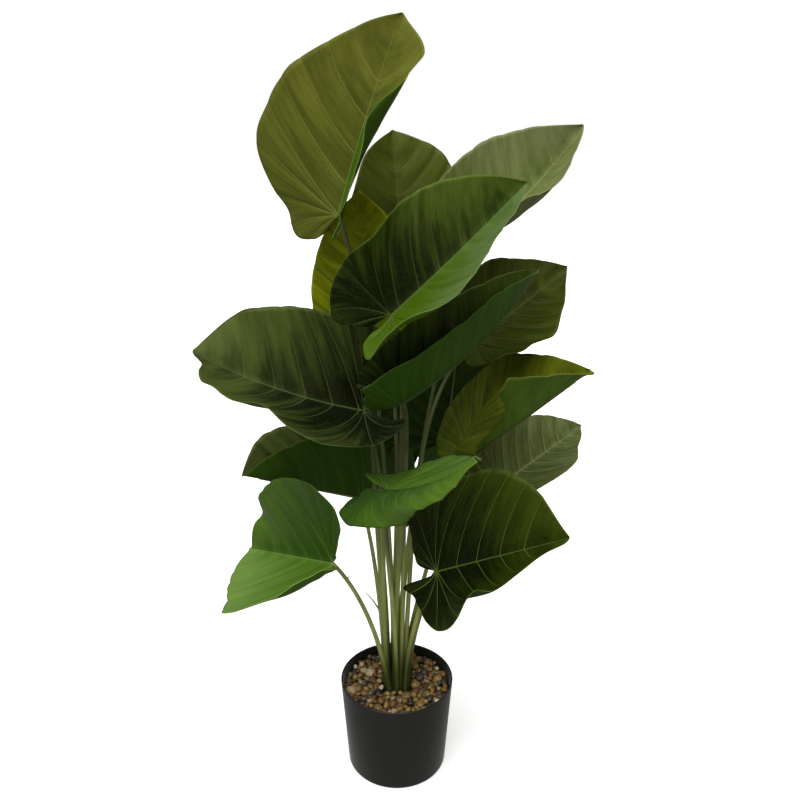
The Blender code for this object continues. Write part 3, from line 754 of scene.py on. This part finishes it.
def pressed_cloth(name, inner, outer, veins, pleat_painted_shade, lines, roughness, shift):
    """Printed, heat-pressed polyester with a soft gloss, dark by the stem and lighter outwards: partly the
    print, partly painted shade by the stem and painted light through the cloth outwards.

    Fine pleats run beside the pale veins, bumped and with painted shade and light on their sides, the
    print is mottled in blotches of 45 mm, and a net of tiny veins lies 4 mm apart, coarser than the real
    one so that it shows.
    """
    material, node = add_material(name)
    place = node("TexCoord")
    where = node("Mapping", {"Location": (shift, 0.0, 0.0)}, {"Vector": (place, "Object")})
    blotches = node("TexNoise", {"Scale": 22.0, "Detail": 3.0}, {"Vector": (where, "Vector")})
    on_blade = node("UVMap", {"uv_map": "UVMap"})
    across = node("SeparateXYZ", links={"Vector": (on_blade, "UV")})
    drift = node(
        "VectorMath",
        {"operation": "MULTIPLY", "Vector_001": (4.0, 4.0, 9.0)},
        {"Vector": (where, "Vector")},
    )
    pleat_place = node(
        "VectorMath",
        {"operation": "MULTIPLY_ADD", "Vector_001": (1.1, 42.0, 0.0)},
        {"Vector": (on_blade, "UV"), "Vector_002": (drift, "Vector")},
    )
    pleats = node(
        "TexNoise", {"Scale": 1.0, "Detail": 3.0, "Roughness": 0.62}, {"Vector": (pleat_place, "Vector")}
    )
    ahead = node("Attribute", {"attribute_name": "ahead"})
    # Half of the two noises' weights is taken off again, because a noise is 0.5 on average.
    pleat_weight = PLEAT_WEIGHT * pleat_painted_shade
    noise_middle = 0.5 * (pleat_weight + BLOTCH_WEIGHT)
    outwards = node(
        "Math",
        {"operation": "MULTIPLY_ADD", "Value_001": pleat_weight, "Value_002": -noise_middle},
        {"Value": (pleats, "Fac")},
    )
    # The change from the inner to the outer colour is partly the print and partly painted shade by the stem
    # and painted light through the cloth towards the edge and the tip.
    ways = ((blotches, "Fac"), (across, "X"), (ahead, "Fac"))
    for weight, way in zip((BLOTCH_WEIGHT, EDGE_WEIGHT, TIP_WEIGHT), ways):
        outwards = node(
            "Math",
            {"operation": "MULTIPLY_ADD", "Value_001": weight},
            {"Value": way, "Value_002": (outwards, "Value")},
        )
    outer_share = node(
        "MapRange",
        {"interpolation_type": "SMOOTHSTEP", "From Min": 0.16, "From Max": 1.12},
        {"Value": (outwards, "Value")},
    )
    print_colour = node(
        "Mix",
        {"data_type": "RGBA", "A_Color": linear(inner), "B_Color": linear(outer)},
        {"Factor_Float": (outer_share, "Result")},
    )
    # The pleats' darker and lighter bands are painted shade and light on their sides.
    swing = PLEAT_PAINTED_SWING * pleat_painted_shade
    painted_pleat_value = node(
        "MapRange",
        {"From Min": 0.3, "From Max": 0.7, "To Min": 1.0 - swing, "To Max": 1.0 + swing},
        {"Value": (pleats, "Fac")},
    )
    painted_pleat_colour = node("HueSaturation", links={"Color": (print_colour, "Result_Color"), "Value": (painted_pleat_value, "Result")})
    net = node("TexVoronoi", {"feature": "DISTANCE_TO_EDGE", "Scale": 230.0}, {"Vector": (where, "Vector")})
    net_lines = node(
        "MapRange", {"From Max": 0.12, "To Min": 0.07, "To Max": 0.0}, {"Value": (net, "Distance")}
    )
    vein = node("Attribute", {"attribute_name": "vein"})
    rib = node("Attribute", {"attribute_name": "rib"})
    nearest = node("Math", {"operation": "MINIMUM"}, {"Value": (vein, "Fac"), "Value_001": (rib, "Fac")})
    vein_lines = node(
        "MapRange",
        {
            "interpolation_type": "SMOOTHSTEP",
            "From Min": 0.2,
            "From Max": 1.1,
            "To Min": lines,
            "To Max": 0.0,
        },
        {"Value": (nearest, "Value")},
    )
    colour, relief = (painted_pleat_colour, "Color"), (pleats, "Fac")
    for line_share in (net_lines, vein_lines):
        lined = node(
            "Mix",
            {"data_type": "RGBA", "B_Color": linear(veins)},
            {"Factor_Float": (line_share, "Result"), "A_Color": colour},
        )
        grooved = node("Math", {"operation": "ADD"}, {"Value": (line_share, "Result"), "Value_001": relief})
        colour, relief = (lined, "Result_Color"), (grooved, "Value")
    bump = node("Bump", {"Strength": 0.6, "Distance": 0.0006, "invert": True}, {"Height": relief})
    gloss = node(
        "MapRange", {"To Min": roughness - 0.08, "To Max": roughness + 0.1}, {"Value": (blotches, "Fac")}
    )
    cloth = node(
        "BsdfPrincipled",
        {"IOR": 1.45, "Specular IOR Level": 0.22, "Specular Tint": (0.95, 1.0, 0.4, 1.0)},
        {"Base Color": colour, "Roughness": (gloss, "Result"), "Normal": (bump, "Normal")},
    )
    node("OutputMaterial", links={"Surface": (cloth, "BSDF")})
    return material


def blade_materials(name, tone):
    """The three materials of one tone: the printed top, the underside and the cut edge."""
    top, under, cut = f"{name}_leaf_print", f"{name}_leaf_underside", f"{name}_leaf_edge"
    dull, pale = tone.underside, tone.veins
    pleats, lines = tone.pleats, tone.lines
    return [
        pressed_cloth(top, tone.inner, tone.outer, pale, pleats, lines, PRINT_ROUGHNESS, 0.0),
        pressed_cloth(under, dull, dull, tone.underside_veins, pleats, lines, UNDERSIDE_ROUGHNESS, 3.0),
        pressed_cloth(cut, pale, pale, pale, 0.0, 0.0, CUT_ROUGHNESS, 6.0),
    ]


leaf_materials = {name: blade_materials(name, tone) for name, tone in TONES.items()}


def add_blade(leaf, rib):
    """The blade as a thin shell. Its points carry what the print needs: how far ahead they are, and how
    far from the nearest vein and from the rib, over the width of its line."""
    rows = row_places()
    builder = bmesh.new()
    vein_layer = builder.verts.layers.float.new("vein")
    rib_layer = builder.verts.layers.float.new("rib")
    ahead_layer = builder.verts.layers.float.new("ahead")
    uv_of = {}
    materials = []
    for side in (-1, 1):
        grid = bmesh.ops.create_grid(builder, x_segments=COLUMNS, y_segments=len(rows) - 1, size=0.5)
        for vert in grid["verts"]:
            across = (vert.co.x + 0.5) ** COLUMN_CROWDING
            along, part, low, high = rows[round((vert.co.y + 0.5) * (len(rows) - 1))]
            here = flat_place(leaf, across, along)
            gap = vein_gap(leaf, here, across, {low, high} & set(VEINS)) * rib.length
            vein_width = VEIN_HALF_WIDTH * (1.0 - VEIN_TAPER * across)
            rib_width = RIB_HALF_WIDTH * (1.0 - RIB_TAPER * min(max(here.x, 0.0), 1.0))
            puff = puff_height(rib, here, across, part, low, high)
            vert.co = blade_point(rib, side, across, along, puff)
            vert[vein_layer] = gap / vein_width
            vert[rib_layer] = here.y * rib.length / rib_width
            vert[ahead_layer] = here.x
            uv_of[vert] = (across, along)
        faces = {face for vert in grid["verts"] for face in vert.link_faces}
        if side < 0:
            bmesh.ops.reverse_faces(builder, faces=list(faces))
        half_tone, half_end = HALF_TONES.get((leaf.name, side), (leaf.tone, 1.0))
        for face in faces:
            if max(uv_of[vert][1] for vert in face.verts) <= half_end:
                face.material_index = len(materials)
        materials += leaf_materials[half_tone]
    uv_layer = builder.loops.layers.uv.new("UVMap")
    for face in builder.faces:
        for loop in face.loops:
            loop[uv_layer].uv = uv_of[loop.vert]
    bmesh.ops.remove_doubles(builder, verts=builder.verts, dist=MERGED_RIB)
    blade = add_piece(f"leaf_{leaf.name}", builder, materials)
    shell = blade.modifiers.new("Thickness", "SOLIDIFY")
    shell.thickness = BLADE_THICKNESS
    shell.offset = 0.0
    shell.material_offset = 1
    shell.material_offset_rim = 2
    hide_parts(f"blade_{leaf.name}")


# ------------------------------------------------------------------------------
# Stems. Each is one moulded polyethylene rod over a wire, thicker at the foot and faintly ribbed, olive
# green, with shoots and stubs where it left its mould. It carries on as the rib under its blade.

STEM_PITCH = 0.0068  # between the middles of neighbours in the bunch
STEM_RADIUS = 0.0030
STEM_TOP_RADIUS = 0.0021
STEM_POINTS = 30
STEM_SIDES = 20
STEM_RISE = 0.45  # how far the foot's upward direction carries, over the stem's reach
STEM_TURN = 0.22  # how far the direction at the blade carries back
USUAL_RISE = 0.6  # share of the blade's upward direction in a stem's own at the blade
MOULD_RIBS, MOULD_RIB_HEIGHT = 5, 0.05  # round a stem, and their height over its radius
CAD_GAP = 0.0003  # between a stem and its blade in the CAD, whose blades are thicker
CAD_BLADE = 0.0008
RIB_RADII = (0.0017, 0.0004)  # at the stem and at the far end
RIB_END = 0.88  # over the blade's length
RIB_POINTS = 22
RIB_SINK = 0.75  # how far the rib's middle hangs under the blade, over its radius
THIN_SIDES = 10
STUBS = {  # shoots and mould stubs: share of the stem's length, way, length and radius
    "left_lower": ((0.36, (-0.50, -0.1, 0.85), 0.036, 0.0012),),
    "crown_left": (
        (0.335, (0.99, 0.1, 0.08), 0.019, 0.0008),
        (0.975, (-0.6, -0.2, -0.75), 0.013, 0.0010),
    ),
    "low_left": ((0.83, (0.5, -0.3, 0.8), 0.006, 0.0013),),
    "back_left": (
        (0.22, (0.1, -0.9, 0.5), 0.006, 0.0022),
        (0.27, (-0.6, -0.7, 0.5), 0.005, 0.0018),
    ),
    "crown_back": ((0.42, (0.5, -0.8, 0.4), 0.005, 0.0018),),
}
STUB_POINTS = 6
STUB_BEND = 0.25
STUB_TAPER = 0.6
KNUCKLE_SIZE = 1.04  # radius of the rounded end under the blade, over the stem's there
KNUCKLE_DROP = 0.0002


def ring_matrix(point, direction, before, radius):
    """The matrix that puts a unit circle round a point, across a direction, turned as little as it can
    be, and the turn alone for the next ring."""
    turn = (before @ Vector((0, 0, 1))).rotation_difference(direction).to_matrix() @ before
    size = Matrix.Diagonal((radius, radius, radius, 1.0))
    return Matrix.Translation(point) @ turn.to_4x4() @ size, turn


def add_tube(builder, points, radii, sides, ribbing=0.0):
    """A closed round rod through the points, extruded ring by ring, as one more shell of a bmesh."""
    directions = [
        (points[min(index + 1, len(points) - 1)] - points[max(index - 1, 0)]).normalized()
        for index in range(len(points))
    ]
    placed, turn = ring_matrix(points[0], directions[0], Matrix.Identity(3), radii[0])
    ring = bmesh.ops.create_circle(builder, cap_ends=True, segments=sides, radius=1.0)["verts"]
    for index, vert in enumerate(ring):
        vert.co *= 1.0 + ribbing * math.cos(2 * math.pi * MOULD_RIBS * index / sides)
    bmesh.ops.transform(builder, matrix=placed, verts=ring)
    shell = list(ring)
    edges = [edge for edge in builder.edges if edge.verts[0] in ring and edge.verts[1] in ring]
    for point, direction, radius in zip(points[1:], directions[1:], radii[1:]):
        moved, turn = ring_matrix(point, direction, turn, radius)
        made = bmesh.ops.extrude_edge_only(builder, edges=edges)["geom"]
        ring = [item for item in made if isinstance(item, bmesh.types.BMVert)]
        edges = [edge for edge in made if isinstance(edge, bmesh.types.BMEdge)]
        edges = [edge for edge in edges if edge.verts[0] in ring and edge.verts[1] in ring]
        bmesh.ops.transform(builder, matrix=moved @ placed.inverted(), verts=ring)
        shell += ring
        placed = moved
    bmesh.ops.holes_fill(builder, edges=edges)
    faces = list({face for vert in shell for face in vert.link_faces})
    bmesh.ops.recalc_face_normals(builder, faces=faces)


def slot_place(slot):
    """Where a stem enters the soil: the bunch is packed in rings of 1, 6 and 12."""
    ring, place = slot
    if ring == 0:
        return Vector((0.0, 0.0, soil_high.z))
    corner, step = divmod(place, ring)
    turn = math.pi / 3
    start = Vector((math.cos(turn * corner), math.sin(turn * corner), 0.0))
    end = Vector((math.cos(turn * (corner + 1)), math.sin(turn * (corner + 1)), 0.0))
    return STEM_PITCH * (start * (ring - step) + end * step) + Vector((0.0, 0.0, soil_high.z))


def stem_path(leaf, rib):
    """Points from the soil to the underside of the blade."""
    start = slot_place(leaf.slot)
    arrive = Vector(leaf.arrive or rib.up * USUAL_RISE + rib.ahead * (1 - USUAL_RISE)).normalized()
    tilt = math.sqrt(1 - arrive.dot(rib.up) ** 2)
    end = rib.base - rib.up * (CAD_BLADE / 2 + CAD_GAP + STEM_TOP_RADIUS * tilt)
    reach = (end - start).length
    upright = start + Vector((0.0, 0.0, STEM_RADIUS))
    rise = start + Vector((0.0, 0.0, reach * STEM_RISE)) + Vector((*leaf.lean, 0.0))
    turn = end - arrive * reach * STEM_TURN
    return [start] + geometry.interpolate_bezier(upright, rise, turn, end, STEM_POINTS)


def olive_polyethylene():
    """Satin moulded polyethylene: olive green, paler in lengths of about 160 mm and in streaks 2 mm wide,
    deep green at the foot, and darker under the leaves with painted shade."""
    material, node = add_material("olive_polyethylene")
    place = node("TexCoord")
    grains = []
    for squash, scale, detail in ((0.06, 420.0, 4.0), (0.08, 75.0, 2.0)):
        along_stem = node("Mapping", {"Scale": (1.0, 1.0, squash)}, {"Vector": (place, "Object")})
        grain = node("TexNoise", {"Scale": scale, "Detail": detail}, {"Vector": (along_stem, "Vector")})
        grains.append(grain)
    streaks, lengths = grains
    length_share = node("MapRange", {"From Min": 0.3, "From Max": 0.7}, {"Value": (lengths, "Fac")})
    colour = node(
        "Mix",
        {"data_type": "RGBA", "A_Color": linear("838d40"), "B_Color": linear("bcc46e")},
        {"Factor_Float": (length_share, "Result")},
    )
    streak_share = node(
        "MapRange", {"From Min": 0.45, "From Max": 0.75, "To Max": 0.6}, {"Value": (streaks, "Fac")}
    )
    height = node("SeparateXYZ", links={"Vector": (place, "Object")})
    foot_share = node(
        "MapRange",
        {
            "interpolation_type": "SMOOTHSTEP",
            "From Min": 0.13,
            "From Max": 0.2,
            "To Min": 0.9,
            "To Max": 0.0,
        },
        {"Value": (height, "Z")},
    )
    crown_painted_shade = node(
        "MapRange",
        {"interpolation_type": "SMOOTHSTEP", "From Min": 0.27, "From Max": 0.4, "To Max": 0.8},
        {"Value": (height, "Z")},
    )
    # The last mix darkens the stems under the leaves: painted shade.
    for paint, share in (("a8b068", streak_share), ("2c3606", foot_share), ("26340f", crown_painted_shade)):
        colour = node(
            "Mix",
            {"data_type": "RGBA", "B_Color": linear(paint)},
            {"Factor_Float": (share, "Result"), "A_Color": (colour, "Result_Color")},
        )
    bump = node("Bump", {"Strength": 0.3, "Distance": 0.0003}, {"Height": (streaks, "Fac")})
    polyethylene = node(
        "BsdfPrincipled",
        {"Roughness": 0.4, "IOR": 1.5},
        {"Base Color": (colour, "Result_Color"), "Normal": (bump, "Normal")},
    )
    node("OutputMaterial", links={"Surface": (polyethylene, "BSDF")})
    return material


moulded_stem = olive_polyethylene()


def add_stem(leaf, rib):
    """The stem with its shoots and stubs, the knuckle where it meets the blade, and the rib under it."""
    builder = bmesh.new()
    path = stem_path(leaf, rib)
    radii = np.linspace(STEM_RADIUS, STEM_TOP_RADIUS, len(path))
    add_tube(builder, path, radii, STEM_SIDES, ribbing=MOULD_RIB_HEIGHT)
    thick, thin = RIB_RADII
    rib_points, rib_radii = [], []
    for step in range(RIB_POINTS):
        share = RIB_END * step / (RIB_POINTS - 1)
        point, up, _ = rib.at(share)
        radius = thick + (thin - thick) * share / RIB_END
        rib_points.append(point - up * (BLADE_THICKNESS / 2 + RIB_SINK * radius))
        rib_radii.append(radius)
    add_tube(builder, rib_points, rib_radii, THIN_SIDES)
    for share, way, length, radius in STUBS.get(leaf.name, ()):
        root = path[round(share * (len(path) - 1))]
        onwards = Vector(way).normalized()
        steps = [step / (STUB_POINTS - 1) for step in range(STUB_POINTS)]
        curve = Vector((0.0, 0.0, STUB_BEND * length))
        stub_points = [root + onwards * length * step + curve * step * (1 - step) for step in steps]
        stub_radii = [radius * (1.0 - STUB_TAPER * step) for step in steps]
        add_tube(builder, stub_points, stub_radii, THIN_SIDES)
    knuckle = bmesh.ops.create_icosphere(
        builder, subdivisions=3, radius=STEM_TOP_RADIUS * KNUCKLE_SIZE
    )["verts"]
    bmesh.ops.translate(builder, verts=knuckle, vec=path[-1] - rib.up * KNUCKLE_DROP)
    stem = add_piece(f"stem_{leaf.name}", builder, [moulded_stem])
    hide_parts(f"stalk_{leaf.name}")


for leaf in LEAVES:
    blade_rib = BladeRib(leaf)
    add_blade(leaf, blade_rib)
    add_stem(leaf, blade_rib)
